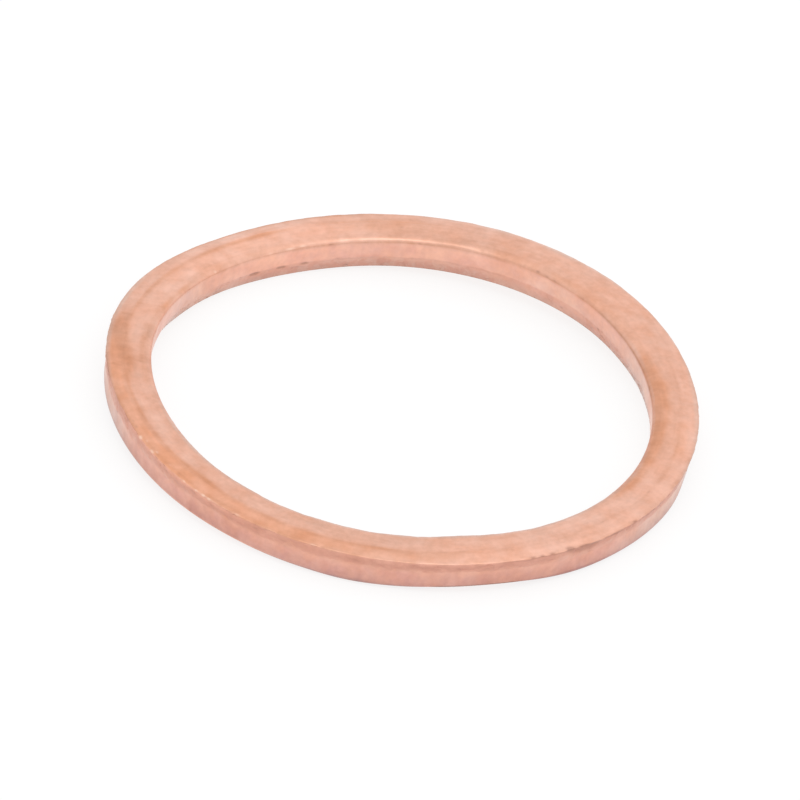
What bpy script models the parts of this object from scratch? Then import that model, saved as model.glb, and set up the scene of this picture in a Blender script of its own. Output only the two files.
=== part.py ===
# A copper sealing washer, 27 x 32 x 2 mm, stamped from soft strip and slightly bent in handling.
# Metres, +Z up. The origin is on the ring's axis, level with the three points it stands on.
#
# The blank was pressed down out of the strip, and the hole was then pressed down through it.
# So the outer edge rolls over at the bottom and breaks away, with a burr, at the top.
# The bore rolls over at the top and breaks away at the bottom.

from math import atan2, cos, pi, radians, sin

import bmesh
import bpy
from mathutils.geometry import intersect_point_tri_2d

MM = 0.001

# Main sizes
BORE_DIAMETER = 27.0 * MM
RING_WIDTH = 2.5 * MM  # from the bore to the burr, so the ring is 32 mm across
THICKNESS = 2.0 * MM

# Top face: a level land, a pressed line, and a band that falls away to the burr
BAND_WIDTH = 0.94 * MM
BAND_FALL = 0.09 * MM

# Outer edge, from the top down: flattened burr, break, straight burnished wall, roll-over
BURR_OVERHANG = 0.13 * MM
BURR_RADIUS = 0.06 * MM
OUTER_BREAK_HEIGHT = 0.65 * MM
OUTER_ROLL_WIDTH = 0.75 * MM
OUTER_ROLL_DEPTH = 0.33 * MM

# Bore, from the top down: roll-over, straight burnished wall, break, sharp bottom edge
BORE_ROLL_WIDTH = 0.50 * MM
BORE_ROLL_DEPTH = 0.28 * MM
BORE_BREAK_HEIGHT = 0.85 * MM
BORE_BREAK_FLARE = 0.20 * MM
BORE_EDGE_RADIUS = 0.04 * MM

# Bends out of flat: a saddle with two high points and a wave with three
SADDLE_HEIGHT = 0.21 * MM
SADDLE_ANGLE = radians(36)
TRIPLE_HEIGHT = 0.17 * MM
TRIPLE_ANGLE = radians(56)

# Smoothness
TURN_STEPS = 120
ROLL_STEPS = 4
SMALL_RADIUS_STEPS = 2
SHARP_ANGLE = radians(28)

# Copper
COPPER_COLOUR = (0.85, 0.46, 0.33, 1.0)
COPPER_ROUGHNESS = 0.34


def quarter(centre, half_width, half_height, start, end, steps):
    """Points along a quarter of an ellipse, from one angle to the other."""
    points = []
    for step in range(steps + 1):
        angle = start + (end - start) * step / steps
        points.append((centre[0] + half_width * cos(angle), centre[1] + half_height * sin(angle)))
    return points


def section():
    """The ring's section as (radius, height) points, from the top land outwards and down."""
    bore_radius = BORE_DIAMETER / 2
    burr_tip = bore_radius + RING_WIDTH
    wall_radius = burr_tip - BURR_OVERHANG
    land_inner = bore_radius + BORE_ROLL_WIDTH
    land_outer = burr_tip - BAND_WIDTH
    band_edge = THICKNESS - BAND_FALL
    flared_radius = bore_radius + BORE_BREAK_FLARE

    top = [(land_inner, THICKNESS), (land_outer, THICKNESS)]
    burr = quarter((burr_tip - BURR_RADIUS, band_edge - BURR_RADIUS), BURR_RADIUS, BURR_RADIUS,
                   pi / 2, 0, SMALL_RADIUS_STEPS)
    outer_wall = [(wall_radius, band_edge - BURR_RADIUS - OUTER_BREAK_HEIGHT)]
    outer_roll = quarter((wall_radius - OUTER_ROLL_WIDTH, OUTER_ROLL_DEPTH),
                         OUTER_ROLL_WIDTH, OUTER_ROLL_DEPTH, 0, -pi / 2, ROLL_STEPS)
    bore_edge = quarter((flared_radius + BORE_EDGE_RADIUS, BORE_EDGE_RADIUS),
                        BORE_EDGE_RADIUS, BORE_EDGE_RADIUS, -pi / 2, -pi, SMALL_RADIUS_STEPS)
    bore_wall = [(bore_radius, BORE_BREAK_HEIGHT)]
    bore_roll = quarter((land_inner, THICKNESS - BORE_ROLL_DEPTH),
                        BORE_ROLL_WIDTH, BORE_ROLL_DEPTH, pi, pi / 2, ROLL_STEPS)
    # The roll-over's last point is the land's first, so the section closes there.
    return top + burr + outer_wall + outer_roll + bore_edge + bore_wall + bore_roll[:-1]


def bend(angle):
    """How far the ring stands above or below flat at this angle round its axis."""
    saddle = SADDLE_HEIGHT * cos(2 * (angle - SADDLE_ANGLE))
    triple = TRIPLE_HEIGHT * cos(3 * (angle - TRIPLE_ANGLE))
    return saddle + triple


def copper():
    """Bare annealed copper."""
    material = bpy.data.materials.new("copper")
    material.use_nodes = True
    shader = material.node_tree.nodes["Principled BSDF"]
    shader.inputs["Base Color"].default_value = COPPER_COLOUR
    shader.inputs["Metallic"].default_value = 1.0
    shader.inputs["Roughness"].default_value = COPPER_ROUGHNESS
    return material


def turned_ring(name, collection):
    """The section turned through a full circle about Z."""
    points = section()
    edges = [(index, (index + 1) % len(points)) for index in range(len(points))]
    profile = bpy.data.meshes.new(name)
    profile.from_pydata([(radius, 0.0, height) for radius, height in points], edges, [])
    ring = bpy.data.objects.new(name, profile)
    collection.objects.link(ring)

    turn = ring.modifiers.new("turn", "SCREW")
    turn.axis = "Z"
    turn.angle = 2 * pi
    turn.steps = TURN_STEPS
    turn.render_steps = TURN_STEPS
    turn.use_merge_vertices = True
    turn.merge_threshold = 0.01 * MM
    return ring


def apply_modifiers(ring):
    """Give the object the mesh that its modifiers make."""
    graph = bpy.context.evaluated_depsgraph_get()
    mesh = bpy.data.meshes.new_from_object(ring.evaluated_get(graph))
    ring.modifiers.clear()
    ring.data = mesh


def bend_out_of_flat(ring):
    """Raise and lower the turned ring round its axis."""
    for vertex in ring.data.vertices:
        vertex.co.z += bend(atan2(vertex.co.y, vertex.co.x))


def resting_face(ring):
    """The three points that a bent ring stands on: the hull's lower face under the axis."""
    hull = bmesh.new()
    for vertex in ring.data.vertices:
        hull.verts.new(vertex.co)
    bmesh.ops.convex_hull(hull, input=hull.verts)
    hull.normal_update()
    feet = None
    for face in hull.faces:
        corners = [vertex.co.copy() for vertex in face.verts]
        if face.normal.z < 0 and intersect_point_tri_2d((0.0, 0.0), *(co.xy for co in corners)):
            feet = corners
    hull.free()
    return feet


def stand_level(ring):
    """Lean the ring until the three points it stands on lie at height zero."""
    first, second, third = resting_face(ring)
    normal = (second - first).cross(third - first)
    lean_x = -normal.x / normal.z
    lean_y = -normal.y / normal.z
    foot_height = first.z - lean_x * first.x - lean_y * first.y
    for vertex in ring.data.vertices:
        vertex.co.z -= foot_height + lean_x * vertex.co.x + lean_y * vertex.co.y


def main():
    for thing in list(bpy.data.objects):
        bpy.data.objects.remove(thing)
    collection = bpy.data.collections.new("copper_sealing_washer")
    bpy.context.scene.collection.children.link(collection)

    ring = turned_ring("sealing_washer", collection)
    apply_modifiers(ring)
    bend_out_of_flat(ring)
    stand_level(ring)
    ring.data.materials.append(copper())
    ring.data.shade_smooth()
    ring.data.set_sharp_from_angle(angle=SHARP_ANGLE)


main()
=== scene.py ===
import bpy
import numpy as np
from mathutils import Matrix, Vector


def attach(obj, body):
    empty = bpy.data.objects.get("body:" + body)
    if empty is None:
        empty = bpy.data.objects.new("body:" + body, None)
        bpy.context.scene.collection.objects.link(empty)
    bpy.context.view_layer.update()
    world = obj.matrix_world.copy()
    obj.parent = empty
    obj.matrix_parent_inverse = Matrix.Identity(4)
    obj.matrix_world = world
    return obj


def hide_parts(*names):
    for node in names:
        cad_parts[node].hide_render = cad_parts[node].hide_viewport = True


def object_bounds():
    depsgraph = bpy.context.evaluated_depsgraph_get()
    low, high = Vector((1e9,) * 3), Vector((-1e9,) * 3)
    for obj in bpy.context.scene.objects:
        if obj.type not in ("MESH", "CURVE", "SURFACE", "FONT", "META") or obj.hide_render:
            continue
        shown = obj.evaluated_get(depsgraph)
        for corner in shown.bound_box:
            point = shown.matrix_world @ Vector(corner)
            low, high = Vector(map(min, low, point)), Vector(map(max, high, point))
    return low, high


# The looks of a copper sealing washer, stamped from soft strip and slightly bent in handling.
# Lengths in the dictionaries are in millimetres, and angles in degrees from +X towards +Y.

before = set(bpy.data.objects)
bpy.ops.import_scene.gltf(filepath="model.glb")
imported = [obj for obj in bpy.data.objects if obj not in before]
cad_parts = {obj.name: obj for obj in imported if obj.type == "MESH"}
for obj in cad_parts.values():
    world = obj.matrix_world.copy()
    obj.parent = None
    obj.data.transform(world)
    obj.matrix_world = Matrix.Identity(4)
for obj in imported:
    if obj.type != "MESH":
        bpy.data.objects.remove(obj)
cadLow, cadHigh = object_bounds()
mm = 0.001
print("frame loaded")


# The ring's section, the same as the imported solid's

ring = {
    "outerRadius": (cadHigh.x - cadLow.x) / 2 / mm,  # to the burr's tip
    "width": 2.5,
    "thickness": 2.0,
    "bandWidth": 0.94,
    "bandFall": 0.09,
    "lineHalfWidth": 0.09,
    "burrOverhang": 0.13,
    "burrRadius": 0.06,
    "outerBreakHeight": 0.65,
    "outerRollWidth": 0.75,
    "outerRollDepth": 0.33,
    "boreRollWidth": 0.50,
    "boreRollDepth": 0.28,
    "boreBreakHeight": 0.85,
    "boreBreakFlare": 0.20,
    "boreEdgeRadius": 0.04,
    "stepsAround": 1000,
    "bakeStrips": 3,
    "bakeMargin": 0.02,
    "rimTolerance": 0.002,     # for finding the land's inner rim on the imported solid
    "seed": 11,
    # Grid rows of each zone of the section
    "rows": {"land": 8, "line": 8, "band": 8, "burr": 5, "outerBreak": 13, "outerWall": 9,
             "outerRoll": 9, "bottom": 6, "boreEdge": 3, "boreBreak": 12, "boreWall": 8,
             "boreRoll": 9},
}


def straight(start, end, rows):
    # Evenly spaced points from start to end, without the last one.
    share = np.arange(rows)[:, None] / rows
    return np.array(start) + (np.array(end) - np.array(start)) * share


def quarter(centre, halfSizes, startAngle, endAngle, rows):
    # Centre plus the half sizes times (cosine, sine) of an evenly running angle, without the last one.
    angle = np.radians(startAngle + (endAngle - startAngle) * np.arange(rows) / rows)
    return np.array(centre) + np.array(halfSizes) * np.stack([np.cos(angle), np.sin(angle)], 1)


def sectionPath():
    # The closed section as (radius, height) points: over the top face outwards, down the outer edge,
    # back under the bottom face and up the bore. Also gives the rows that each zone holds.
    bore = ring["outerRadius"] - ring["width"]
    landInner = bore + ring["boreRollWidth"]
    landOuter = ring["outerRadius"] - ring["bandWidth"]
    top = ring["thickness"]
    bandEdge = top - ring["bandFall"]
    burrIn = ring["outerRadius"] - ring["burrRadius"]
    burrMiddle = bandEdge - ring["burrRadius"]
    wall = ring["outerRadius"] - ring["burrOverhang"]
    breakFoot = burrMiddle - ring["outerBreakHeight"]
    flare = bore + ring["boreBreakFlare"]
    half = ring["lineHalfWidth"]
    lineEnd = top - ring["bandFall"] * half / (burrIn - landOuter)
    edge = ring["boreEdgeRadius"]
    zones = {
        "land": (straight, (landInner, top), (landOuter - half, top)),
        "line": (straight, (landOuter - half, top), (landOuter + half, lineEnd)),
        "band": (straight, (landOuter + half, lineEnd), (burrIn, bandEdge)),
        "burr": (quarter, (burrIn, burrMiddle), (ring["burrRadius"],) * 2, 90, 0),
        "outerBreak": (straight, (ring["outerRadius"], burrMiddle), (wall, breakFoot)),
        "outerWall": (straight, (wall, breakFoot), (wall, ring["outerRollDepth"])),
        "outerRoll": (quarter, (wall - ring["outerRollWidth"], ring["outerRollDepth"]),
                      (ring["outerRollWidth"], ring["outerRollDepth"]), 0, -90),
        "bottom": (straight, (wall - ring["outerRollWidth"], 0), (flare + edge, 0)),
        "boreEdge": (quarter, (flare + edge, edge), (edge, edge), -90, -180),
        "boreBreak": (straight, (flare, edge), (bore, ring["boreBreakHeight"])),
        "boreWall": (straight, (bore, ring["boreBreakHeight"]), (bore, top - ring["boreRollDepth"])),
        "boreRoll": (quarter, (landInner, top - ring["boreRollDepth"]),
                     (ring["boreRollWidth"], ring["boreRollDepth"]), 180, 90),
    }
    points, rows, first = [], {}, 0
    for name, (curve, *shape) in zones.items():
        count = ring["rows"][name]
        points.append(curve(*shape, count))
        rows[name] = slice(first, first + count)
        first += count
    return np.concatenate(points), rows, landInner


path, rows, landInner = sectionPath()
around = np.arange(ring["stepsAround"]) / ring["stepsAround"]
theta = 2 * np.pi * around
rng = np.random.default_rng(ring["seed"])
step = np.linalg.norm(path - np.roll(path, 1, 0), axis=1)
step[0] = 0
along = np.cumsum(step)  # length walked along the section, in mm
tangent = np.roll(path, -1, 0) - np.roll(path, 1, 0)
tangent /= np.linalg.norm(tangent, axis=1)[:, None]
outward = np.stack([-tangent[:, 1], tangent[:, 0]], 1)


def inZone(*names):
    # 1 on the rows of these zones and 0 elsewhere.
    mask = np.zeros(len(path))
    for name in names:
        mask[rows[name]] = 1
    return mask


def smooth(x):
    # 3 x^2 - 2 x^3, with x held between 0 and 1.
    x = np.clip(x, 0, 1)
    return x * x * (3 - 2 * x)


def blotches(cellsAround, cellSize):
    # Value noise from -1 to 1: random heights on a lattice that closes round the ring,
    # blended by the smooth step both ways. Cells are cellSize mm long across the section.
    down = along / cellSize
    lattice = rng.uniform(-1, 1, (cellsAround, int(down[-1]) + 2))
    turn = around * cellsAround
    i, j = turn.astype(int), down.astype(int)
    a, b = smooth(turn - i)[:, None], smooth(down - j)[None, :]
    nextI = (i + 1) % cellsAround
    low = lattice[i][:, j] * (1 - b) + lattice[i][:, j + 1] * b
    high = lattice[nextI][:, j] * (1 - b) + lattice[nextI][:, j + 1] * b
    return low * (1 - a) + high * a


def wander(*cellCounts):
    # A line round the ring that wanders between about -1 and 1: octaves of value noise,
    # each half as strong as the one before.
    total = np.zeros(len(around))
    for octave, cells in enumerate(cellCounts):
        heights = rng.uniform(-1, 1, cells)
        turn = around * cells
        i = turn.astype(int)
        a = smooth(turn - i)
        total += (heights[i] * (1 - a) + heights[(i + 1) % cells] * a) / 2 ** octave
    return total


def near(angle, spread):
    # A bell round the ring: exp(-(angle off)^2 / spread^2), in degrees.
    off = (np.degrees(theta) - angle + 180) % 360 - 180
    return np.exp(-(off / spread) ** 2)


def soften(values):
    # Each row blended with the rows beside it: a quarter, a half and a quarter.
    return 0.25 * np.roll(values, 1, 1) + 0.5 * values + 0.25 * np.roll(values, -1, 1)


def ringLevel():
    # The bent ring's height round its axis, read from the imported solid: least squares of
    # 1, cos, sin, cos 2, sin 2, cos 3 and sin 3 of the angle on the heights of the land's inner rim.
    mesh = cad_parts["sealing_washer"].data
    points = np.empty(len(mesh.vertices) * 3)
    mesh.vertices.foreach_get("co", points)
    points = points.reshape(-1, 3) / mm
    rim = points[abs(np.hypot(points[:, 0], points[:, 1]) - landInner) < ring["rimTolerance"]]
    terms = waveTerms(np.arctan2(rim[:, 1], rim[:, 0]))
    sizes = np.linalg.lstsq(terms, rim[:, 2] - ring["thickness"], rcond=None)[0]
    print("bend waves in mm:", np.round(sizes, 4))
    return sizes


def waveTerms(angle):
    # Columns 1, cos a, cos 2a, cos 3a, sin a, sin 2a, sin 3a.
    turns = angle[:, None] * np.arange(1, 4)
    return np.concatenate([np.ones((len(angle), 1)), np.cos(turns), np.sin(turns)], 1)


leanTerms = [1, 4]            # the columns that lean the ring,
bendTerms = [0, 2, 3, 5, 6]   # and those that lift and bend it


# Wear and stamping marks on the ring

wear = {
    "lineDepth": 0.006,
    "lineReach": (95, 275, 40),               # first and last angle, and fade
    "landWaves": 0.006,
    "burrWander": 0.010,
    "burrTorn": 0.020,                        # added where the burr is torn,
    "tornReach": (200, 335, 12),              # along the front
    "burrFollow": 0.6,                        # how much the break's upper rows follow the burr,
    "burrFollowShare": 0.2,                   # down to this share of the break
    "breakWander": 0.07,
    "boreBreakWander": 0.035,
    "boreRollWander": 0.020,
    "fractureDepth": 0.020,
    "chipDepth": 0.045,
    "chipLevel": 0.35,                        # blotches above this are chipped out,
    "chipStep": 0.5,                          # fully so when higher by this much
    # Cells round the ring of each octave of a wander
    "burrOctaves": (150, 330, 900),
    "boreRollOctaves": (60, 170, 400),
    "breakOctaves": (60, 170, 420),
    "boreBreakOctaves": (40, 120, 400),
    # Blotches: cells round the ring, their size across it and strength
    "landBlotches": ((90, 1.1, 1.0), (260, 0.4, 0.5)),
    "fractureBlotches": ((420, 0.17, 1.0), (900, 0.08, 0.6)),
    "chipBlotches": ((300, 0.25, 1.0),),
    # Angle, spread and size of local dents, each a bell
    "rollPinches": ((284, 8, 0.09), (225, 12, -0.035), (318, 8, -0.035)),  # bore's upper rim, inwards
    "rollFilled": ((97, 20, 0.035),),                                      # its roll-over, less round
    "boreEdgeSoft": ((54, 30, 0.030),),                                    # edge between wall and break,
    "boreEdgeReach": 0.22,                                                 # this far to either side
    "rimWorn": ((190, 16, 0.07), (216, 14, 0.045), (55, 14, 0.035)),       # loss of the burr
    "rimDrawn": ((199, 14, 0.11), (250, 22, 0.03)),                        # outer rim, inwards
    "wallPressed": ((348, 7, 0.11),),                                      # outer wall, inwards
    "rimSlump": ((129, 17, 0.155),),                                       # fall of the burr
    "footLifts": ((284, 9, 0.25), (292, 8, 0.06), (222, 30, 0.06), (233, 8, 0.065),
                  (260, 7, -0.075), (309, 7, -0.055)),                     # rise of the bottom edge
    "footWorn": ((288, 9, 0.075),),                                        # and of the whole outer foot
    "boreFootLifts": ((161, 11, 0.24), (163, 7, 0.13), (142, 11, 0.10), (130, 14, 0.05),
                      (93, 17, 0.075), (38, 10, 0.05), (18, 10, 0.11)),    # the same in the bore
    # Painted lines and the zones of painted light, shade and tone
    "traceOctaves": (24, 70, 160),            # of the wander of a line
    "traceStrength": 0.85,
    "traceUneven": 0.35,
    "traceUnevenOctaves": (110, 260),
    "toneUneven": 0.20,                       # how much blotches break up the zones
    "toneBlotches": (80, 1.1),
    # How strongly the breaks show as torn metal
    "tornOuter": 0.95,
    "tornFaint": ((316, 14, 0.35), (212, 12, 0.25)),  # angle, spread and loss
    "tornUneven": 0.30,
    "tornOctaves": (40, 110),
    "tornBore": 0.20,
    "tornBack": 0.45,                         # added in the bore at the back
    "tornBackReach": (76, 118, 16),
    "tornRosy": 0.6,                          # how much of the walls' rosiness the breaks take
}

# Nicks, pits and bright bits: angle, zone, share through the zone, length round the ring,
# length across it, depth (below zero stands proud) and darkness (below zero is bright, a painted
# glint on the burr or on the bore's rim, though some of these bits also stand proud).
marks = [
    (208.2, "burr", 0.30, 0.18, 0.13, -0.020, -1.2),
    (209.8, "band", 0.88, 0.13, 0.10, -0.010, -0.6),
    (212.8, "burr", 0.30, 0.18, 0.11, -0.020, -1.1),
    (213.6, "band", 0.84, 0.15, 0.10, -0.010, -0.7),
    (218.0, "band", 0.80, 0.14, 0.07, -0.008, -0.6),
    (223.2, "burr", 0.20, 0.14, 0.08, -0.012, -0.8),
    (226.5, "burr", 0.60, 0.16, 0.09, -0.012, -0.9),
    (228.5, "burr", 0.50, 0.14, 0.09, -0.015, -1.1),
    (229.9, "burr", 0.50, 0.16, 0.09, -0.012, -0.9),
    (236.7, "burr", 0.30, 0.20, 0.09, -0.015, -0.6),
    (202.0, "outerBreak", 0.20, 0.16, 0.12, 0.015, 0.6),
    (203.2, "band", 0.88, 0.16, 0.10, 0.010, 0.6),
    (205.0, "band", 0.90, 0.18, 0.10, 0.015, 0.7),
    (218.8, "band", 0.72, 0.16, 0.07, 0.008, 0.4),
    (221.0, "band", 0.88, 0.18, 0.08, 0.010, 0.5),
    (224.8, "band", 0.92, 0.14, 0.07, 0.008, 0.5),
    (231.5, "band", 0.85, 0.20, 0.07, 0.008, 0.5),
    (252.8, "burr", 0.4, 0.20, 0.09, -0.015, -0.6),
    (254.6, "burr", 0.4, 0.18, 0.10, 0.030, 0.6),
    (217.5, "outerBreak", 0.35, 0.26, 0.10, 0.010, 0.5),
    (221.5, "outerBreak", 0.50, 0.22, 0.12, 0.010, 0.5),
    (226.0, "outerBreak", 0.30, 0.30, 0.10, 0.010, 0.6),
    (231.0, "outerBreak", 0.45, 0.24, 0.10, 0.010, 0.5),
    (235.5, "outerBreak", 0.60, 0.30, 0.12, 0.010, 0.5),
    (241.0, "outerBreak", 0.35, 0.26, 0.10, 0.010, 0.5),
    (247.0, "outerBreak", 0.50, 0.30, 0.12, 0.010, 0.5),
    (296.1, "burr", 0.3, 0.19, 0.14, 0.055, 1.0),
    (298.1, "burr", 0.4, 0.19, 0.13, 0.055, 1.0),
    (300.3, "burr", 0.1, 0.19, 0.13, 0.055, 1.0),
    (304.4, "burr", 0.5, 0.26, 0.23, 0.090, 1.6),
    (307.5, "burr", 0.9, 0.40, 0.12, 0.030, 0.9),
    (306.4, "outerBreak", 0.42, 0.55, 0.20, 0.020, 0.6),
    (309.2, "outerBreak", 0.40, 0.60, 0.20, 0.020, 0.6),
    (310.5, "outerBreak", 0.14, 0.50, 0.10, 0.020, 0.7),
    (316.0, "outerBreak", 0.05, 0.60, 0.12, 0.020, 0.9),
    (321.4, "burr", 0.5, 0.18, 0.12, 0.055, 1.1),
    (138.2, "boreRoll", 0.3, 0.14, 0.10, -0.010, -0.9),
    (121.8, "boreRoll", 0.22, 0.26, 0.05, -0.008, -0.7),
    (116.6, "boreRoll", 0.24, 0.40, 0.05, -0.010, -1.2),
    (113.4, "boreRoll", 0.31, 0.26, 0.05, -0.010, -1.1),
    (110.8, "boreRoll", 0.44, 0.34, 0.05, -0.008, -0.6),
    (136.7, "boreRoll", 0.2, 0.13, 0.07, 0.030, 0.7),
    (106.5, "boreRoll", 0.1, 0.20, 0.06, 0.030, 0.9),
    (86.0, "boreRoll", 0.12, 0.20, 0.06, 0.030, 0.8),
    (57.4, "boreRoll", 0.28, 0.16, 0.08, 0.020, 1.0),
    (54.8, "boreRoll", 0.20, 0.18, 0.07, 0.020, 0.8),
    (52.6, "boreRoll", 0.18, 0.16, 0.06, 0.020, 0.7),
    (44.0, "boreRoll", 0.14, 0.18, 0.05, 0.020, 0.7),
    (125.5, "boreBreak", 0.88, 0.34, 0.11, 0.060, 2.2),
    (118.3, "boreBreak", 0.88, 0.34, 0.10, 0.050, 1.7),
    (112.3, "boreBreak", 0.86, 0.32, 0.09, 0.040, 1.3),
    (50.0, "boreBreak", 0.40, 0.20, 0.10, 0.040, 0.7),
    (37.8, "boreBreak", 0.88, 0.18, 0.09, 0.040, 0.9),
    (90.2, "land", 0.78, 0.13, 0.10, 0.020, 0.7),
    (227.2, "land", 0.15, 0.14, 0.12, -0.004, -0.4),
    (153.2, "line", 0.4, 0.30, 0.10, 0.010, 0.4),
    (157.3, "line", 0.8, 0.40, 0.11, 0.010, 0.4),
    (282.2, "line", 0.1, 0.50, 0.07, 0.006, 0.5),
    (281.8, "land", 0.86, 0.36, 0.08, 0.004, 0.5),
    (284.5, "band", 0.45, 0.22, 0.05, 0.004, 0.4),
    (309.2, "land", 0.15, 0.22, 0.08, 0.004, 0.4),
    (278.5, "line", 0.3, 0.50, 0.07, 0.006, 0.5),
    (292.2, "line", 0.0, 0.50, 0.07, 0.006, 0.5),
    (315.5, "line", 0.3, 0.30, 0.07, 0.006, 0.5),
    (331.2, "line", 0.6, 0.25, 0.07, 0.006, 0.5),
]


def fromShare(name):
    # Share through the zone on its own rows, and 0 elsewhere.
    share = np.zeros(len(path))
    share[rows[name]] = np.linspace(0, 1, ring["rows"][name], endpoint=False)
    return share


def arc(start, end, fade):
    # 1 from start to end, counted in degrees the way the angle grows, fading out over some degrees.
    middle, half = (start + end) / 2, (end - start) / 2
    off = abs((np.degrees(theta) - middle + 180) % 360 - 180)
    return smooth((half + fade - off) / fade)


def bells(name):
    # The sum of one kind's bells, each size * near(angle, spread), round the ring and as a column.
    return sum(size * near(angle, spread) for angle, spread, size in wear[name])[:, None]


def layered(name):
    # Blotches of several sizes added up, each times its strength.
    return sum(strength * blotches(cells, size) for cells, size, strength in wear[name])


def relief():
    # How far each grid point stands off the plain section along its outward direction, in mm: minus
    # sin^2 across the pressed line, plus blotches on the faces and on the breaks, minus chips, plus
    # the wander of the burr and of the bore's roll-over, each with its bells of wear.
    dip = np.sin(np.pi * fromShare("line")) ** 2
    height = -wear["lineDepth"] * arc(*wear["lineReach"])[:, None] * dip

    face = inZone("land", "line", "band", "bottom")
    height = height + wear["landWaves"] * face * layered("landBlotches")

    fracture = inZone("outerBreak", "boreBreak")
    height += wear["fractureDepth"] * fracture * layered("fractureBlotches")
    chips = smooth((layered("chipBlotches") - wear["chipLevel"]) / wear["chipStep"])
    height -= wear["chipDepth"] * chips * fracture

    upper = inZone("outerBreak") * (fromShare("outerBreak") < wear["burrFollowShare"])
    burr = inZone("burr") + wear["burrFollow"] * upper
    ragged = wear["burrWander"] + wear["burrTorn"] * arc(*wear["tornReach"])
    height += (ragged * wander(*wear["burrOctaves"]))[:, None] * burr
    height -= bells("rimWorn") * burr
    pressed = fromShare("outerBreak") + inZone("outerWall", "outerRoll")
    height -= bells("wallPressed") * pressed

    roll = np.sin(np.pi * fromShare("boreRoll")) ** 2
    height += wear["boreRollWander"] * roll * wander(*wear["boreRollOctaves"])[:, None]
    height += bells("rollFilled") * roll
    edgeBell = np.exp(-((along - placeOf("boreWall", 0)) / wear["boreEdgeReach"]) ** 2)
    height -= bells("boreEdgeSoft") * edgeBell
    pinched = inZone("boreRoll") * (1 - fromShare("boreRoll") ** 3)
    return height + bells("rollPinches") * pinched


def rimPart():
    # 1 on the burr, falling to nothing over the band inside it and the break below it.
    below = inZone("outerBreak") * (1 - fromShare("outerBreak"))
    return fromShare("band") ** 1.5 + inZone("burr") + below


def slide():
    # How far each grid point is pushed up or down, in mm. The breaks' edges wander: strongest on the
    # edge between break and burnished wall, and fading to nothing either way. The bottom edges rise
    # and the burr's rim falls here and there.
    def peak(broken, burnished):
        return fromShare(broken) ** 1.5 + (1 - fromShare(burnished)) * inZone(burnished)

    waver = wear["breakWander"] * wander(*wear["breakOctaves"])[:, None]
    boreWaver = wear["boreBreakWander"] * wander(*wear["boreBreakOctaves"])[:, None]
    shift = waver * peak("outerBreak", "outerWall") + boreWaver * peak("boreBreak", "boreWall")
    roll = fromShare("outerRoll")
    shift = shift + bells("footLifts") * 4 * roll * (1 - roll)
    outerFoot = fromShare("outerWall") ** 2 + inZone("outerRoll")
    outerFoot = outerFoot + inZone("bottom") * (1 - fromShare("bottom")) ** 2
    shift = shift + bells("footWorn") * outerFoot
    boreFoot = fromShare("bottom") ** 2 + inZone("boreEdge")
    boreFoot = boreFoot + inZone("boreBreak") * (1 - fromShare("boreBreak"))
    shift = shift + bells("boreFootLifts") * boreFoot
    return shift - bells("rimSlump") * rimPart()


def placeOf(zone, share):
    # Length along the section at a share of a zone.
    rowsIn = rows[zone]
    return along[rowsIn.start] + share * (along[rowsIn.stop - 1] - along[rowsIn.start])


def markFields():
    # Depth and darkness of all the marks: each is a bell in angle and in length across the section.
    depth = np.zeros((len(theta), len(path)))
    dark = np.zeros_like(depth)
    for angle, zone, share, length, breadth, deep, tone in marks:
        bell = near(angle, np.degrees(length / ring["outerRadius"]))[:, None]
        bell = bell * np.exp(-((along - placeOf(zone, share)) / breadth) ** 2)
        depth += deep * bell
        dark += tone * bell
    return depth, dark


# Warmth (below zero is pinker) and light (below zero is darker) of whole zones, at the zone's
# first row and at its last. Much of it is painted light and shade: the outer wall, its roll-over and
# the bore's lower edge darken towards the floor as painted shadow, the burr is darkened, and the
# bore wall brightens upwards as a painted highlight.
zoneLightAndTones = {
    "burr": ((0.00, -0.40), (0.00, -0.40)),
    "outerBreak": ((0.00, 0.35), (0.00, -0.10)),
    "outerWall": ((0.00, 0.10), (-0.25, -1.50)),
    "outerRoll": ((-0.25, -1.60), (0.00, -3.20)),
    "boreEdge": ((-0.80, -1.80), (-0.80, -1.80)),
    "boreBreak": ((-0.90, -1.10), (0.00, 0.20)),
    "boreWall": ((-0.20, 0.35), (-0.05, 0.90)),
    "boreRoll": ((0.00, 0.10), (0.00, -0.20)),
}
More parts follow.
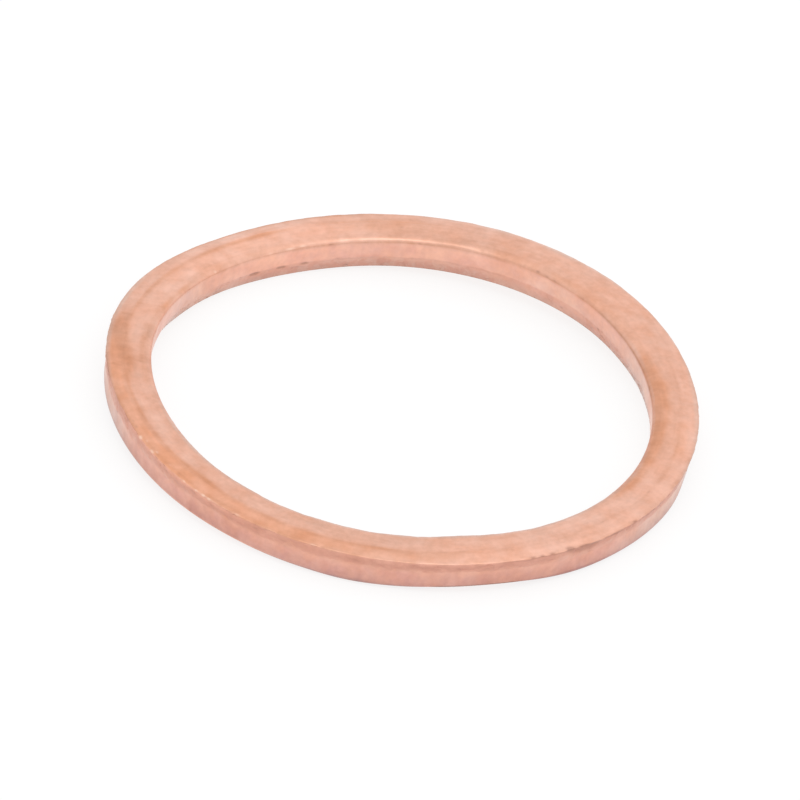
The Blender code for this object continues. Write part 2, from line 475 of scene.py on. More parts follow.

# Painted light and shade on the top face, with some of the copper's own uneven tone: where the bent
# ring's faces tilt, they show lighter, paler or deeper orange as light falls on them. Columns: angle,
# spread, place across the top face from 0 at the land's inner rim to 1 at the burr, its spread,
# warmth and light.
topLightAndTones = [
    (190, 24, 0.82, 0.24, 1.10, -0.10),   # outer band at the left, deep orange, painted shade where it tilts
    (220, 24, 0.82, 0.24, 1.40, 0.10),
    (250, 24, 0.80, 0.26, 0.80, -0.10),
    (272, 16, 0.85, 0.26, 0.10, 0.30),    # outer band at the front right, brighter as painted light
    (302, 30, 0.85, 0.30, 0.00, 0.50),
    (350, 34, 0.80, 0.35, -0.10, 0.35),
    (350, 9, 0.68, 0.14, 0.50, -0.20),
    (350, 9, 1.04, 0.08, 0.00, -0.60),
    (223, 13, 1.00, 0.09, -0.75, 0.55),   # pale burr at the front left
    (311, 9, 1.00, 0.12, 0.00, 0.40),     # bright patches at the front right
    (290, 8, 0.70, 0.16, 0.00, 0.45),
    (171, 4, 0.85, 0.22, 0.60, -0.80),    # darker orange at the left end, slanting inwards
    (175, 4, 0.65, 0.20, 0.60, -0.70),
    (181, 5, 0.52, 0.18, 0.60, -0.45),
    (187, 4, 0.42, 0.16, 0.50, -0.35),
    (122, 22, 0.25, 0.45, 0.25, 0.95),    # painted light on the land at the back left
    (166, 10, 0.25, 0.35, 0.00, 0.60),
    (62, 26, 1.05, 0.20, -1.10, 0.20),    # pale grey rim at the back, painted where it tilts away
    (52, 14, 1.04, 0.10, -0.90, 0.25),
    (45, 40, 0.30, 0.60, 0.25, 0.25),     # rosier land at the back right
    (14, 6, -0.15, 0.25, 1.00, -0.55),    # painted shade on the land at the right, dark orange
    (4, 9, 0.00, 0.20, 1.40, -0.50),
    (350, 12, -0.08, 0.20, 1.40, -0.60),
    (332, 11, -0.02, 0.20, 0.95, -0.45),
    (5, 8, 0.28, 0.18, 0.15, -0.05),
    (352, 10, 0.45, 0.25, 0.55, 0.00),
    (236, 46, 0.15, 0.30, -0.25, 0.05),   # pale land at the front left
    (300, 24, 0.15, 0.30, -0.20, 0.10),
    (178, 18, 0.00, 0.16, 0.70, -0.20),   # orange rims of the land
    (35, 30, -0.10, 0.18, 0.35, -0.15),
    (176, 16, 1.04, 0.12, -2.00, -0.80),  # grey outermost rims
    (8, 38, 1.04, 0.08, -1.10, -0.50),
    (114, 18, 1.04, 0.10, 0.90, -1.50),
    (100, 8, 1.04, 0.08, -0.10, -0.60),
    (5, 8, 1.04, 0.08, -0.60, -0.20),
    (57, 8, 0.86, 0.14, -0.20, -0.40),    # smaller patches
    (56, 10, 0.68, 0.14, 0.35, -0.10),
    (124, 8, 0.56, 0.12, -0.10, 0.40),
    (158, 13, 1.04, 0.10, -1.10, -0.20),
    (342, 8, 1.04, 0.08, 0.00, -0.40),
    (181, 8, 0.33, 0.14, 0.60, -0.35),
    (220, 10, 0.25, 0.25, 0.15, 0.00),
    (208, 10, 0.40, 0.25, -0.25, 0.35),
    (192, 8, 0.45, 0.15, -0.10, 0.35),
    (255, 12, 0.12, 0.14, 0.00, -0.40),
    (318, 26, 0.22, 0.25, -0.10, 0.40),
    (78, 14, -0.05, 0.25, 0.20, -0.50),
    (108, 9, 0.40, 0.40, -0.25, 0.65),
    (124, 20, 0.79, 0.12, -0.50, 0.00),
    (140, 8, 0.12, 0.30, 0.05, 0.35),
    (260, 8, 0.30, 0.20, 0.10, -0.40),
    (300, 16, 0.86, 0.20, 0.00, 0.30),
    (180, 6, -0.02, 0.12, 0.00, -0.40),
    (94, 14, 0.35, 0.45, 0.60, -0.15),
    (92, 9, 0.60, 0.12, 0.30, -0.35),
    (104, 6, 0.60, 0.10, 0.20, -0.40),
    (22, 8, 0.48, 0.14, 0.30, -0.25),
    (150, 7, 0.35, 0.25, 0.40, -0.10),
    (201, 5, 0.55, 0.14, 0.40, -0.35),
    (222, 6, 0.40, 0.16, 0.40, -0.10),
    (170, 4, 0.38, 0.14, 0.30, -0.35),
    (272, 6, 0.60, 0.12, 0.10, -0.45),
    (281, 8, 0.50, 0.18, 0.30, 0.00),
    (272, 5, 0.75, 0.14, 0.20, -0.20),
    (135, 10, 1.04, 0.10, 1.10, -0.50),
    (124, 15, 0.93, 0.06, 0.20, -0.10),
    (2, 10, 0.70, 0.25, 0.00, 0.25),
    (140, 9, 0.35, 0.40, -0.10, 0.20),
    (209, 8, 0.25, 0.12, -0.10, 0.25),
    (288, 9, 0.38, 0.25, 0.00, 0.25),
    (341, 6, 0.66, 0.14, -0.10, 0.25),
    (163, 14, 0.92, 0.07, -0.70, -0.20),
    (4, 9, 0.92, 0.07, -0.70, -0.05),
    (80, 8, 0.92, 0.07, -0.30, 0.00),
    (130, 8, 0.35, 0.25, 0.30, 0.00),
    (150, 8, 0.20, 0.30, 0.10, 0.40),
    (119, 5, 0.52, 0.08, 0.90, -0.40),    # spots
    (150, 3, -0.17, 0.08, 0.90, -0.30),
    (158, 3, -0.15, 0.08, 0.90, -0.30),
    (171, 4, -0.10, 0.10, 0.00, -0.90),
    (168, 3, 0.62, 0.10, 0.20, -0.60),
]

# The same for the walls, mostly painted light and shade: paler ends where the outer wall turns away,
# a painted reflection; painted shadow and light along parts of the foot; a painted highlight on the
# bore wall. Columns: angle, spread, zones, warmth and light. It fades down the outer break.
wallLightAndTones = [
    (192, 14, ("outerBreak", "outerWall", "outerRoll"), -0.80, -0.10),  # pale ends of the outer wall, a painted reflection
    (188, 8, ("outerRoll",), 0.00, -1.00),
    (328, 12, ("outerWall",), -0.40, 0.10),
    (342, 7, ("outerBreak",), 0.40, -0.55),
    (341, 7, ("outerRoll",), 0.60, -0.60),
    (226, 14, ("outerBreak",), 0.45, 0.10),
    (232, 16, ("outerRoll",), 0.00, 2.10),
    (302, 6, ("outerBreak",), 0.30, -0.05),
    (308, 4, ("outerBreak",), 0.10, -0.35),
    (206, 9, ("outerBreak",), 0.50, -0.40),
    (242, 13, ("outerBreak",), 0.50, 0.10),
    (260, 14, ("outerBreak",), 0.50, -0.10),
    (283, 12, ("outerBreak",), 0.05, 0.10),
    (345, 16, ("outerWall", "outerRoll"), -1.00, 0.15),
    (284, 8, ("outerRoll",), 0.00, 1.60),
    (306, 14, ("outerRoll",), 0.00, -1.00),
    (50, 16, ("boreWall",), -0.32, 0.08),     # the bore, paler here as a painted highlight
    (16, 12, ("boreWall", "boreBreak"), -0.60, -0.55),
    (38, 22, ("boreBreak",), 0.40, -0.25),
    (118, 12, ("boreWall",), 0.00, 0.50),
    (100, 7, ("boreWall",), 0.20, -0.25),
    (76, 14, ("boreWall",), 0.00, 0.25),
    (119, 5, ("boreBreak",), 0.00, 0.30),
    (128, 8, ("boreBreak",), 0.35, -0.45),
    (90, 15, ("boreBreak",), -0.20, -0.20),
    (150, 10, ("boreWall", "boreBreak"), -0.30, -0.30),
    (143, 9, ("boreWall",), -0.15, -0.05),
]

# Painted lines, several of them painted light and shade: a painted highlight on the bore's upper
# rim, painted shade beside and under the burr and a painted shadow at the front foot. Columns:
# first and last angle, fade, zone, share through it, half width, wander, warmth and light.
traces = [
    (120, 226, 12, "line", 0.28, 0.16, 0.030, 0.65, -0.62),         # along the pressed line
    (232, 262, 10, "line", 0.90, 0.15, 0.030, 0.50, -0.50),
    (186, 250, 12, "band", 0.35, 0.16, 0.060, 0.20, 0.35),
    (268, 345, 8, "line", 0.62, 0.10, 0.050, 0.30, -0.28),
    (346, 370, 6, "line", 0.50, 0.10, 0.050, 0.10, -0.35),
    (82, 112, 6, "boreRoll", 0.36, 0.035, 0.025, -0.60, 1.00),      # painted highlight on the upper rim of the bore
    (8, 54, 8, "boreRoll", 0.08, 0.045, 0.020, 0.00, -0.95),        # and its dark edge
    (76, 150, 8, "boreRoll", 0.08, 0.040, 0.025, 0.00, -0.85),
    (-36, 34, 10, "boreRoll", 0.14, 0.09, 0.030, -0.20, -0.95),
    (-20, 22, 8, "boreRoll", 0.40, 0.09, 0.020, -0.90, -0.45),
    (66, 122, 8, "boreBreak", 0.93, 0.05, 0.030, 0.00, -0.60),
    (198, 238, 6, "band", 0.93, 0.10, 0.020, 0.30, -0.40),          # painted shade inside and below the burr
    (206, 234, 8, "outerBreak", 0.10, 0.09, 0.030, 0.25, 1.10),     # painted highlight on the rim under it
    (184, 203, 6, "burr", 0.40, 0.08, 0.015, -0.20, -0.90),
    (276, 292, 5, "burr", 0.30, 0.08, 0.010, -0.20, 0.80),          # painted highlight along a stretch of the burr
    # painted shade under the burr at the front, over the torn metal's own darker colour
    (264, 322, 14, "outerBreak", 0.42, 0.16, 0.030, 0.20, -0.60),
    (293, 334, 6, "outerBreak", 0.09, 0.07, 0.030, 0.30, -1.10),
    (244, 276, 10, "outerRoll", 0.14, 0.10, 0.020, -0.40, -1.00),   # painted shadow at the foot at the front
    (205, 335, 12, "boreRoll", 0.58, 0.14, 0.010, -1.30, -0.85),    # grey inner rim at the front
]

# Scratches on the top face: angle and place of each end, half width, warmth and light.
scratches = [
    (161.5, 0.55, 160.2, -0.06, 0.08, 0.20, -0.32),
    (165.8, 0.88, 166.5, 0.53, 0.06, 0.20, -0.60),
    (182.2, 0.35, 183.5, 0.00, 0.09, 0.20, -0.50),
    (184.3, 0.83, 185.2, 0.60, 0.07, 0.50, -0.90),
]


topRows = inZone("land", "line", "band", "burr", "boreRoll")
topWidth = ring["outerRadius"] - landInner


def traceField(start, end, fade, zone, share, width, waver):
    # A line along the ring at a place on the section, wandering across it and uneven in strength.
    centre = placeOf(zone, share) + waver * wander(*wear["traceOctaves"])
    strength = wear["traceStrength"] + wear["traceUneven"] * wander(*wear["traceUnevenOctaves"])
    strength = arc(start, end, fade) * strength
    return strength[:, None] * np.exp(-((along - centre[:, None]) / width) ** 2)


def scratchField(startAngle, startPlace, endAngle, endPlace, width):
    # A bell in the distance from a straight line between two places on the top face, in mm.
    start = np.array([0, startPlace * topWidth])
    line = np.array([np.radians(endAngle - startAngle) * landInner, endPlace * topWidth]) - start
    turn = np.radians((np.degrees(theta) - startAngle + 180) % 360 - 180) * landInner
    x = turn[:, None] - start[0]
    y = (path[:, 0] - landInner)[None, :] - start[1]
    share = np.clip((x * line[0] + y * line[1]) / (line @ line), 0, 1)
    off = np.hypot(x - share * line[0], y - share * line[1])
    return np.exp(-(off / width) ** 2) * topRows


def toneFields():
    # Each zone's light and tint, mostly painted shade and highlight, softened over its edges, plus a
    # bell in angle and in place across the top face for each entry of painted light, shade and tone,
    # broken up by blotches, plus the painted lines and the scratches.
    base = np.zeros((2, len(path)))
    for name, (first, last) in zoneLightAndTones.items():
        share = fromShare(name)[rows[name]]
        base[:, rows[name]] = np.array(first)[:, None] * (1 - share) + np.array(last)[:, None] * share
    base = soften(base)
    warmth = np.zeros((len(theta), len(path)))
    light = np.zeros_like(warmth)
    across = (path[:, 0] - landInner) / topWidth
    for angle, spread, place, reach, warm, bright in topLightAndTones:
        bell = near(angle, spread)[:, None] * np.exp(-((across - place) / reach) ** 2) * topRows
        warmth += warm * bell
        light += bright * bell
    uneven = 1 + wear["toneUneven"] * blotches(*wear["toneBlotches"])
    warmth = warmth * uneven + base[0]
    light = light * uneven + base[1]
    for angle, spread, zones, warm, bright in wallLightAndTones:
        bell = near(angle, spread)[:, None] * inZone(*zones) * (1 - fromShare("outerBreak") ** 2)
        warmth += warm * bell
        light += bright * bell
    for field, entries in ((traceField, traces), (scratchField, scratches)):
        for *place, warm, bright in entries:
            line = field(*place)
            warmth += warm * line
            light += bright * line
    return warmth, light


def zoneFields():
    # Masks of the breaks and of the burnished walls, softened over their edges. A break's mask is
    # 1 - share^3 towards its burnished edge, times its strength round the ring, and it takes some
    # of the walls' rosiness.
    outer = inZone("outerBreak") * (1 - fromShare("outerBreak") ** 3)
    strength = wear["tornOuter"] - bells("tornFaint")
    strength = strength + wear["tornUneven"] * wander(*wear["tornOctaves"])[:, None]
    bore = inZone("boreBreak") * (1 - fromShare("boreBreak") ** 3) + inZone("boreEdge")
    boreStrength = wear["tornBore"] + wear["tornBack"] * arc(*wear["tornBackReach"])[:, None]
    broken = outer * strength + bore * boreStrength
    wall = inZone("outerWall", "boreWall", "outerRoll")
    wall = wall + wear["tornRosy"] * inZone("outerBreak", "boreBreak")
    wall = np.broadcast_to(wall, broken.shape)
    return soften(np.stack([broken, wall, np.zeros_like(broken)], -1))


def addVectors(mesh, name, values):
    # A named vector for each point of the mesh.
    layer = mesh.attributes.new(name, "FLOAT_VECTOR", "POINT")
    layer.data.foreach_set("vector", values.reshape(-1, 3).astype(np.float32).ravel())


def addBakeMap(mesh, steps, width):
    # The ring unrolled into a few strips, one above the other, so that a baked finish keeps its grain.
    strips = ring["bakeStrips"]
    i, j = np.meshgrid(np.arange(steps), np.arange(width), indexing="ij")
    cornerI = np.stack([i, i, i + 1, i + 1], -1) / steps * strips
    cornerJ = np.stack([j, j + 1, j + 1, j], -1) / width
    strip = np.minimum((i / steps * strips).astype(int), strips - 1)[..., None]
    margin = ring["bakeMargin"]
    u = cornerI - strip
    v = (strip + margin + cornerJ * (1 - 2 * margin)) / strips
    layer = mesh.uv_layers.new(name="OFBake", do_init=False)
    layer.uv.foreach_set("vector", np.stack([u, v], -1).astype(np.float32).ravel())


def buildRing():
    # Point (i, j) is section point j turned to angle i, moved along its outward direction by the
    # relief, up or down by the slide and inwards where the rim is drawn in, then raised by the
    # ring's own bend and lean at that place.
    depth, dark = markFields()
    off = relief() - depth
    radius = path[:, 0] + outward[:, 0] * off - bells("rimDrawn") * rimPart()
    height = path[:, 1] + outward[:, 1] * off + slide()
    sizes = ringLevel()
    terms = waveTerms(theta)
    lean = terms[:, leanTerms] @ sizes[leanTerms]
    bend = terms[:, bendTerms] @ sizes[bendTerms]
    height = height + bend[:, None] + lean[:, None] * radius / landInner
    height = np.maximum(height, 0)
    cosine, sine = np.cos(theta)[:, None], np.sin(theta)[:, None]
    points = np.stack([radius * cosine, radius * sine, height], -1) * mm

    steps, width = radius.shape
    i, j = np.meshgrid(np.arange(steps), np.arange(width), indexing="ij")
    nextI, nextJ = (i + 1) % steps, (j + 1) % width
    faces = np.stack([i * width + j, i * width + nextJ, nextI * width + nextJ, nextI * width + j], -1)
    mesh = bpy.data.meshes.new("copper_washer")
    mesh.from_pydata(points.reshape(-1, 3), [], faces.reshape(-1, 4).tolist())
    mesh.shade_smooth()

    middle = ring["outerRadius"] - ring["width"] / 2
    flow = np.stack(np.broadcast_arrays(middle * cosine, middle * sine, along), -1)
    warmth, light = toneFields()
    addVectors(mesh, "flow", flow)
    addVectors(mesh, "tone", np.stack([warmth, light, dark], -1))
    addVectors(mesh, "zone", zoneFields())
    addBakeMap(mesh, steps, width)
    piece = bpy.data.objects.new("copper_washer", mesh)
    bpy.context.scene.collection.objects.link(piece)
    print("ring built,", 2 * steps * width, "triangles")
    return piece


# Shader building

def addNode(tree, kind, inputs=None, **settings):
    # One node with its settings, and with its inputs set or linked.
    node = tree.nodes.new("ShaderNode" + kind)
    for name, value in settings.items():
        setattr(node, name, value)
    for name, value in (inputs or {}).items():
        if isinstance(value, bpy.types.NodeSocket):
            tree.links.new(value, node.inputs[name])
        else:
            node.inputs[name].default_value = value
    return node


def calc(tree, operation, *values):
    # A Math node on up to three values.
    return addNode(tree, "Math", dict(enumerate(values)), operation=operation).outputs[0]


def remap(tree, value, low, high, newLow=0.0, newHigh=1.0):
    # value from low..high to newLow..newHigh, by the smooth step.
    inputs = {"Value": value, "From Min": low, "From Max": high, "To Min": newLow, "To Max": newHigh}
    return addNode(tree, "MapRange", inputs, interpolation_type="SMOOTHSTEP").outputs[0]


def blend(tree, share, first, second, way="MIX"):
    # first goes to second as share goes from 0 to 1.
    inputs = {0: share, 6: first, 7: second}
    return addNode(tree, "Mix", inputs, data_type="RGBA", blend_type=way).outputs[2]


def noise(tree, vector, scale, detail):
    # Noise from 0 to 1.
    inputs = {"Vector": vector, "Scale": scale, "Detail": detail}
    return addNode(tree, "TexNoise", inputs).outputs[0]


def newGroup(name, inputs, outputs):
    # A node group with named sockets: inputs are (name, socket type, start value).
    group = bpy.data.node_groups.new(name, "ShaderNodeTree")
    for label, kind, start in inputs:
        socket = group.interface.new_socket(label, in_out="INPUT", socket_type=kind)
        if start is not None:
            socket.default_value = start
    for label, kind in outputs:
        group.interface.new_socket(label, in_out="OUTPUT", socket_type=kind)
    return group, group.nodes.new("NodeGroupInput"), group.nodes.new("NodeGroupOutput")


copper = {
    "base": (0.80, 0.448, 0.331, 1),
    "warm": (0.78, 0.36, 0.21, 1),
    "pale": (0.80, 0.54, 0.45, 1),
    "brown": (0.70, 0.36, 0.275, 1),
    "rosy": (0.80, 0.411, 0.335, 1),
    "dark": (0.45, 0.22, 0.16, 1),
    # colour of the painted glints
    "bright": (0.97, 0.66, 0.52, 1),
    # Sizes in mm of the blotches, streaks and drag lines
    "cloudSize": 2.6,
    "hazeSize": 1.6,
    "smudgeSize": 0.65,
    "grainSize": 0.20,
    "tintSize": 0.45,
    "streakGap": 0.28,
    "streakRun": 1.8,
    "dragGap": 0.30,
    "dragRun": 1.2,
    # The noise behind them
    "mottleFiner": 2.3,      # how much finer the second noise is
    "mottleShares": (0.7, 0.3),
    "mottleRange": (0.34, 0.66),
    "linesRange": (0.30, 0.70),
    # How far each changes the brightness
    "toneStep": 0.16,
    "hazeStep": 0.06,
    "smudgeStep": 0.09,
    "grainStep": 0.045,
    "streakStep": 0.06,
    "dragStep": 0.03,
    # How far each field turns the colour
    "wallRosy": 0.90,
    "cloudWarm": 0.28,
    "tintWarm": 0.20,
    "hazePale": 0.20,
    "tornBrown": 0.75,
    "warmFull": 1.2,         # warmth that turns it fully warm
    "coolFull": 1.0,         # and fully pale below zero
    # Powers of brightness
    "redPower": 0.85,
    "bluePower": 1.20,
    "wallBluePower": 0.80,
    # Torn metal and marks
    "tornSmudge": 0.45,
    "tornGrain": 0.25,
    "tornRange": (0.25, 0.80),
    "tornEdge": 0.25,        # fracture that shows in full
    "markRange": (0.1, 1.1),
    "markDark": 0.7,
    "markBright": 0.8,
    # Roughness, coat, and the bumps' height in mm
    "roughness": 0.34,
    "tornRoughness": 0.14,   # added on torn metal
    "cloudRoughness": 0.08,  # and under clouds
    "coat": 0.30,
    "coatRoughness": 0.40,
    "grainHeight": 0.001,
    "tornHeight": 0.006,     # the grain's on torn metal
    "smudgeHeight": 0.004,
}


def mottleGroup():
    # Cloudy variation from 0 to 1, about Size long, from two scales of noise.
    group, entry, leave = newGroup(
        "mottle", [("Vector", "NodeSocketVector", None), ("Size", "NodeSocketFloat", 1.0)],
        [("Mask", "NodeSocketFloat")])
    scale = calc(group, "DIVIDE", 1.0, entry.outputs["Size"])
    finer = calc(group, "MULTIPLY", scale, copper["mottleFiner"])
    broad = noise(group, entry.outputs["Vector"], scale, 1.0)
    fine = noise(group, entry.outputs["Vector"], finer, 0.0)
    broadShare, fineShare = copper["mottleShares"]
    both = calc(group, "MULTIPLY_ADD", broad, broadShare, calc(group, "MULTIPLY", fine, fineShare))
    group.links.new(remap(group, both, *copper["mottleRange"]), leave.inputs["Mask"])
    return group


def linesGroup():
    # Streaks from 0 to 1: noise stretched to Across along the third coordinate of Flow, which goes
    # across the ring, and to Round along the first two, which go round it.
    group, entry, leave = newGroup(
        "drawn_lines", [("Flow", "NodeSocketVector", None), ("Round", "NodeSocketFloat", 1.0),
                        ("Across", "NodeSocketFloat", 0.1)], [("Mask", "NodeSocketFloat")])
    turn = calc(group, "DIVIDE", 1.0, entry.outputs["Round"])
    over = calc(group, "DIVIDE", 1.0, entry.outputs["Across"])
    sizes = addNode(group, "CombineXYZ", {"X": turn, "Y": turn, "Z": over}).outputs[0]
    scaled = addNode(group, "VectorMath", {0: entry.outputs["Flow"], 1: sizes}, operation="MULTIPLY")
    lines = noise(group, scaled.outputs[0], 1.0, 1.0)
    group.links.new(remap(group, lines, *copper["linesRange"]), leave.inputs["Mask"])
    return group


def useGroup(tree, group, **inputs):
    # The mask of a group with these inputs.
    return addNode(tree, "Group", inputs, node_tree=group).outputs[0]


def centred(tree, mask, step, start):
    # start + step times the mask about its own middle.
    return calc(tree, "MULTIPLY_ADD", calc(tree, "SUBTRACT", mask, 0.5), step, start)


def copperMaterial():
    # Satin copper. The tone attribute carries warmth, light and marks, where the light is mostly painted
    # light and shade and the bright marks are painted glints; the zone attribute carries fracture and
    # burnished wall, and flow carries the direction round and across the ring.
    # Clouds and tint warm the colour and haze pales it. Brightness = 1 + light + haze + smudges + grain
    # + streaks round the faces + drag lines down the walls, each about its own middle. Dark places
    # are warmer: red goes with brightness^0.85 and blue with brightness^1.2, or ^0.8 on the walls.
    # Broken = fracture, made patchy by grain and smudges along its fading side.
    material = bpy.data.materials.new("copper")
    material.use_nodes = True
    tree = material.node_tree
    shader = tree.nodes["Principled BSDF"]
    mottle, lines = mottleGroup(), linesGroup()

    place = addNode(tree, "TexCoord").outputs["Object"]
    inMm = addNode(tree, "Mapping", {"Vector": place, "Scale": (1 / mm,) * 3}).outputs[0]
    flow = addNode(tree, "Attribute", attribute_name="flow").outputs["Vector"]
    tone = addNode(tree, "Attribute", attribute_name="tone").outputs["Vector"]
    zone = addNode(tree, "Attribute", attribute_name="zone").outputs["Vector"]
    warmth, light, marked = addNode(tree, "SeparateXYZ", {0: tone}).outputs
    fracture, wall = addNode(tree, "SeparateXYZ", {0: zone}).outputs[:2]

    cloud = useGroup(tree, mottle, Vector=inMm, Size=copper["cloudSize"])
    haze = useGroup(tree, mottle, Vector=inMm, Size=copper["hazeSize"])
    smudge = useGroup(tree, mottle, Vector=inMm, Size=copper["smudgeSize"])
    grain = useGroup(tree, mottle, Vector=inMm, Size=copper["grainSize"])
    tint = useGroup(tree, mottle, Vector=inMm, Size=copper["tintSize"])
    streak = useGroup(tree, lines, Flow=flow, Round=copper["streakRun"], Across=copper["streakGap"])
    drag = useGroup(tree, lines, Flow=flow, Round=copper["dragGap"], Across=copper["dragRun"])

    level = calc(tree, "SUBTRACT", 1.0, wall)

    patchy = centred(tree, grain, copper["tornGrain"], fracture)
    patchy = centred(tree, smudge, copper["tornSmudge"], patchy)
    present = remap(tree, fracture, 0.0, copper["tornEdge"])
    broken = calc(tree, "MULTIPLY", remap(tree, patchy, *copper["tornRange"]), present)

    def turned(colour, mask, share, towards):
        # The colour turned towards another by the mask times a share.
        return blend(tree, calc(tree, "MULTIPLY", mask, copper[share]), colour, copper[towards])

    coolness = calc(tree, "MULTIPLY", warmth, -1.0)
    colour = turned(copper["base"], wall, "wallRosy", "rosy")
    colour = blend(tree, remap(tree, warmth, 0.0, copper["warmFull"]), colour, copper["warm"])
    colour = blend(tree, remap(tree, coolness, 0.0, copper["coolFull"]), colour, copper["pale"])
    colour = turned(colour, cloud, "cloudWarm", "warm")
    colour = turned(colour, tint, "tintWarm", "warm")
    colour = turned(colour, haze, "hazePale", "pale")
    colour = turned(colour, broken, "tornBrown", "brown")

    brightness = calc(tree, "MULTIPLY_ADD", light, copper["toneStep"], 1.0)
    brightness = centred(tree, haze, copper["hazeStep"], brightness)
    brightness = centred(tree, smudge, copper["smudgeStep"], brightness)
    brightness = centred(tree, grain, copper["grainStep"], brightness)
    brightness = centred(tree, streak, calc(tree, "MULTIPLY", level, copper["streakStep"]), brightness)
    brightness = centred(tree, drag, calc(tree, "MULTIPLY", wall, copper["dragStep"]), brightness)
    red = calc(tree, "POWER", brightness, copper["redPower"])
    wallChange = copper["wallBluePower"] - copper["bluePower"]
    bluePower = calc(tree, "MULTIPLY_ADD", wall, wallChange, copper["bluePower"])
    blue = calc(tree, "POWER", brightness, bluePower)
    shaded = addNode(tree, "CombineColor", {0: red, 1: brightness, 2: blue}).outputs[0]
    colour = blend(tree, 1.0, colour, shaded, "MULTIPLY")
    # Marks below zero are painted glints, turned towards the bright colour
    glints = calc(tree, "MULTIPLY", marked, -1.0)
    darkened = remap(tree, marked, *copper["markRange"], 0.0, copper["markDark"])
    brightened = remap(tree, glints, *copper["markRange"], 0.0, copper["markBright"])
    colour = blend(tree, darkened, colour, copper["dark"])
    colour = blend(tree, brightened, colour, copper["bright"])
    tree.links.new(colour, shader.inputs["Base Color"])
    shader.inputs["Metallic"].default_value = 1.0
    shader.inputs["Coat Weight"].default_value = copper["coat"]
    shader.inputs["Coat Roughness"].default_value = copper["coatRoughness"]

    rough = calc(tree, "MULTIPLY_ADD", broken, copper["tornRoughness"], copper["roughness"])
    rough = calc(tree, "MULTIPLY_ADD", cloud, copper["cloudRoughness"], rough)
    tree.links.new(rough, shader.inputs["Roughness"])

    grainHeight = remap(tree, broken, 0.0, 1.0, copper["grainHeight"], copper["tornHeight"])
    height = calc(tree, "MULTIPLY", grain, grainHeight)
    height = calc(tree, "MULTIPLY_ADD", smudge, copper["smudgeHeight"], height)
    bump = addNode(tree, "Bump", {"Height": height, "Distance": mm, "Strength": 1.0}).outputs[0]
    tree.links.new(bump, shader.inputs["Normal"])
    return material


washer = buildRing()
washer.data.materials.append(copperMaterial())
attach(washer, "root")
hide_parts("sealing_washer")
print("copper finish made")


# Floor, light and camera

studio = {
    "floorSize": 3000.0,
    "floorColour": (0.20, 0.20, 0.20, 1),
    "floorLift": 0.81,
    "tent": 0.97,
    "tentTop": 0.10,           # added towards the top,
    "tentTopFrom": 0.55,       # from this share of the height
    "tentFoot": 0.10,          # and towards the foot,
    "tentFootTo": 0.50,        # up to this share
    "tentSide": 0.06,
    "lampSize": 450.0,
    "lampPlace": (0.0, -150.0, 600.0),
    "lampPower": 0.30,
}


def pickedRays(tree):
    # 1 for camera, glossy and transmission rays.
    rays = addNode(tree, "LightPath")
    total = calc(tree, "MAXIMUM", rays.outputs["Is Camera Ray"], rays.outputs["Is Glossy Ray"])
    return calc(tree, "MAXIMUM", total, rays.outputs["Is Transmission Ray"])


def makeFloor():
    # A pale floor at height zero that keeps the soft shadow, and shows nothing from below.
    half = studio["floorSize"] * mm / 2
    mesh = bpy.data.meshes.new("floor")
    corners = [(-half, -half, 0), (half, -half, 0), (half, half, 0), (-half, half, 0)]
    mesh.from_pydata(corners, [], [(0, 1, 2, 3)])
    floor = bpy.data.objects.new("floor", mesh)
    bpy.context.scene.collection.objects.link(floor)
    material = bpy.data.materials.new("floor")
    material.use_nodes = True
    tree = material.node_tree
    tree.nodes.clear()
    diffuse = addNode(tree, "BsdfDiffuse", {"Color": studio["floorColour"]}).outputs[0]
    strength = calc(tree, "MULTIPLY", pickedRays(tree), studio["floorLift"])
    glow = addNode(tree, "Emission", {"Strength": strength}).outputs[0]
    lit = addNode(tree, "AddShader", {0: diffuse, 1: glow}).outputs[0]
    clear = addNode(tree, "BsdfTransparent").outputs[0]
    under = addNode(tree, "NewGeometry").outputs["Backfacing"]
    both = addNode(tree, "MixShader", {0: under, 1: lit, 2: clear}).outputs[0]
    tree.links.new(both, addNode(tree, "OutputMaterial").inputs["Surface"])
    mesh.materials.append(material)


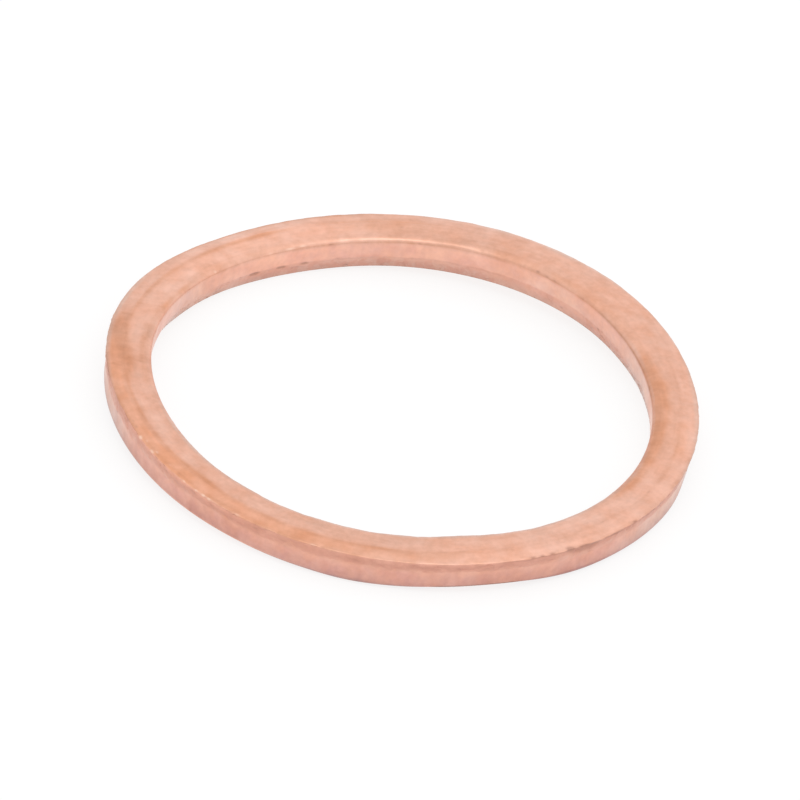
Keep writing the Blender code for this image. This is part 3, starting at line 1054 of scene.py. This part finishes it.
def makeTent():
    # A white tent all round: its level rises towards the top, the foot and slightly the right.
    world = bpy.data.worlds.new("tent")
    bpy.context.scene.world = world
    world.use_nodes = True
    tree = world.node_tree
    way = addNode(tree, "SeparateXYZ", {0: addNode(tree, "TexCoord").outputs["Generated"]})
    top = studio["tent"] + studio["tentTop"]
    level = remap(tree, way.outputs["Z"], studio["tentTopFrom"], 1.0, studio["tent"], top)
    foot = remap(tree, way.outputs["Z"], 0.0, studio["tentFootTo"], studio["tentFoot"], 0.0)
    level = calc(tree, "ADD", level, foot)
    level = calc(tree, "MULTIPLY_ADD", way.outputs["X"], studio["tentSide"], level)
    background = tree.nodes["Background"]
    background.inputs["Color"].default_value = (1, 1, 1, 1)
    tree.links.new(level, background.inputs["Strength"])


def makeLamp():
    # One soft lamp overhead, a little towards the front.
    lamp = bpy.data.lights.new("overhead", "AREA")
    lamp.shape = "DISK"
    lamp.size = studio["lampSize"] * mm
    lamp.energy = studio["lampPower"]
    holder = bpy.data.objects.new("overhead", lamp)
    holder.location = Vector(studio["lampPlace"]) * mm
    holder.rotation_euler = (Vector((0, 0, 0)) - holder.location).to_track_quat("-Z", "Y").to_euler()
    bpy.context.scene.collection.objects.link(holder)


view = {
    "elevation": 34.596,   # looking down
    "azimuth": 5.101,      # from +Y towards +X
    "roll": 8.994,
    "distance": 960.0,
    "aside": -0.151,       # where the ring's origin lies right of the picture's middle
    "below": 0.940,        # and how far below it
    "lens": 808.24,
}


def makeCamera():
    # Forward from elevation and azimuth, right turned about it by the roll, and the place
    # worked back from where the ring's origin lies before the lens.
    azimuth, elevation, roll = (np.radians(view[name]) for name in ("azimuth", "elevation", "roll"))
    ahead = Vector((np.sin(azimuth), np.cos(azimuth), 0))
    level = Vector((np.cos(azimuth), -np.sin(azimuth), 0))
    forward = ahead * np.cos(elevation) - Vector((0, 0, np.sin(elevation)))
    right = level * np.cos(roll) + level.cross(forward) * np.sin(roll)
    up = right.cross(forward)
    place = (up * view["below"] - right * view["aside"] - forward * view["distance"]) * mm
    data = bpy.data.cameras.new("camera")
    data.lens = view["lens"]
    camera = bpy.data.objects.new("camera", data)
    columns = Matrix((right, up, -forward)).transposed()
    camera.matrix_world = Matrix.Translation(place) @ columns.to_4x4()
    bpy.context.scene.collection.objects.link(camera)
    bpy.context.scene.camera = camera


makeFloor()
makeTent()
makeLamp()
makeCamera()
bpy.context.scene.view_settings.view_transform = "Standard"
print("floor, light and camera placed")
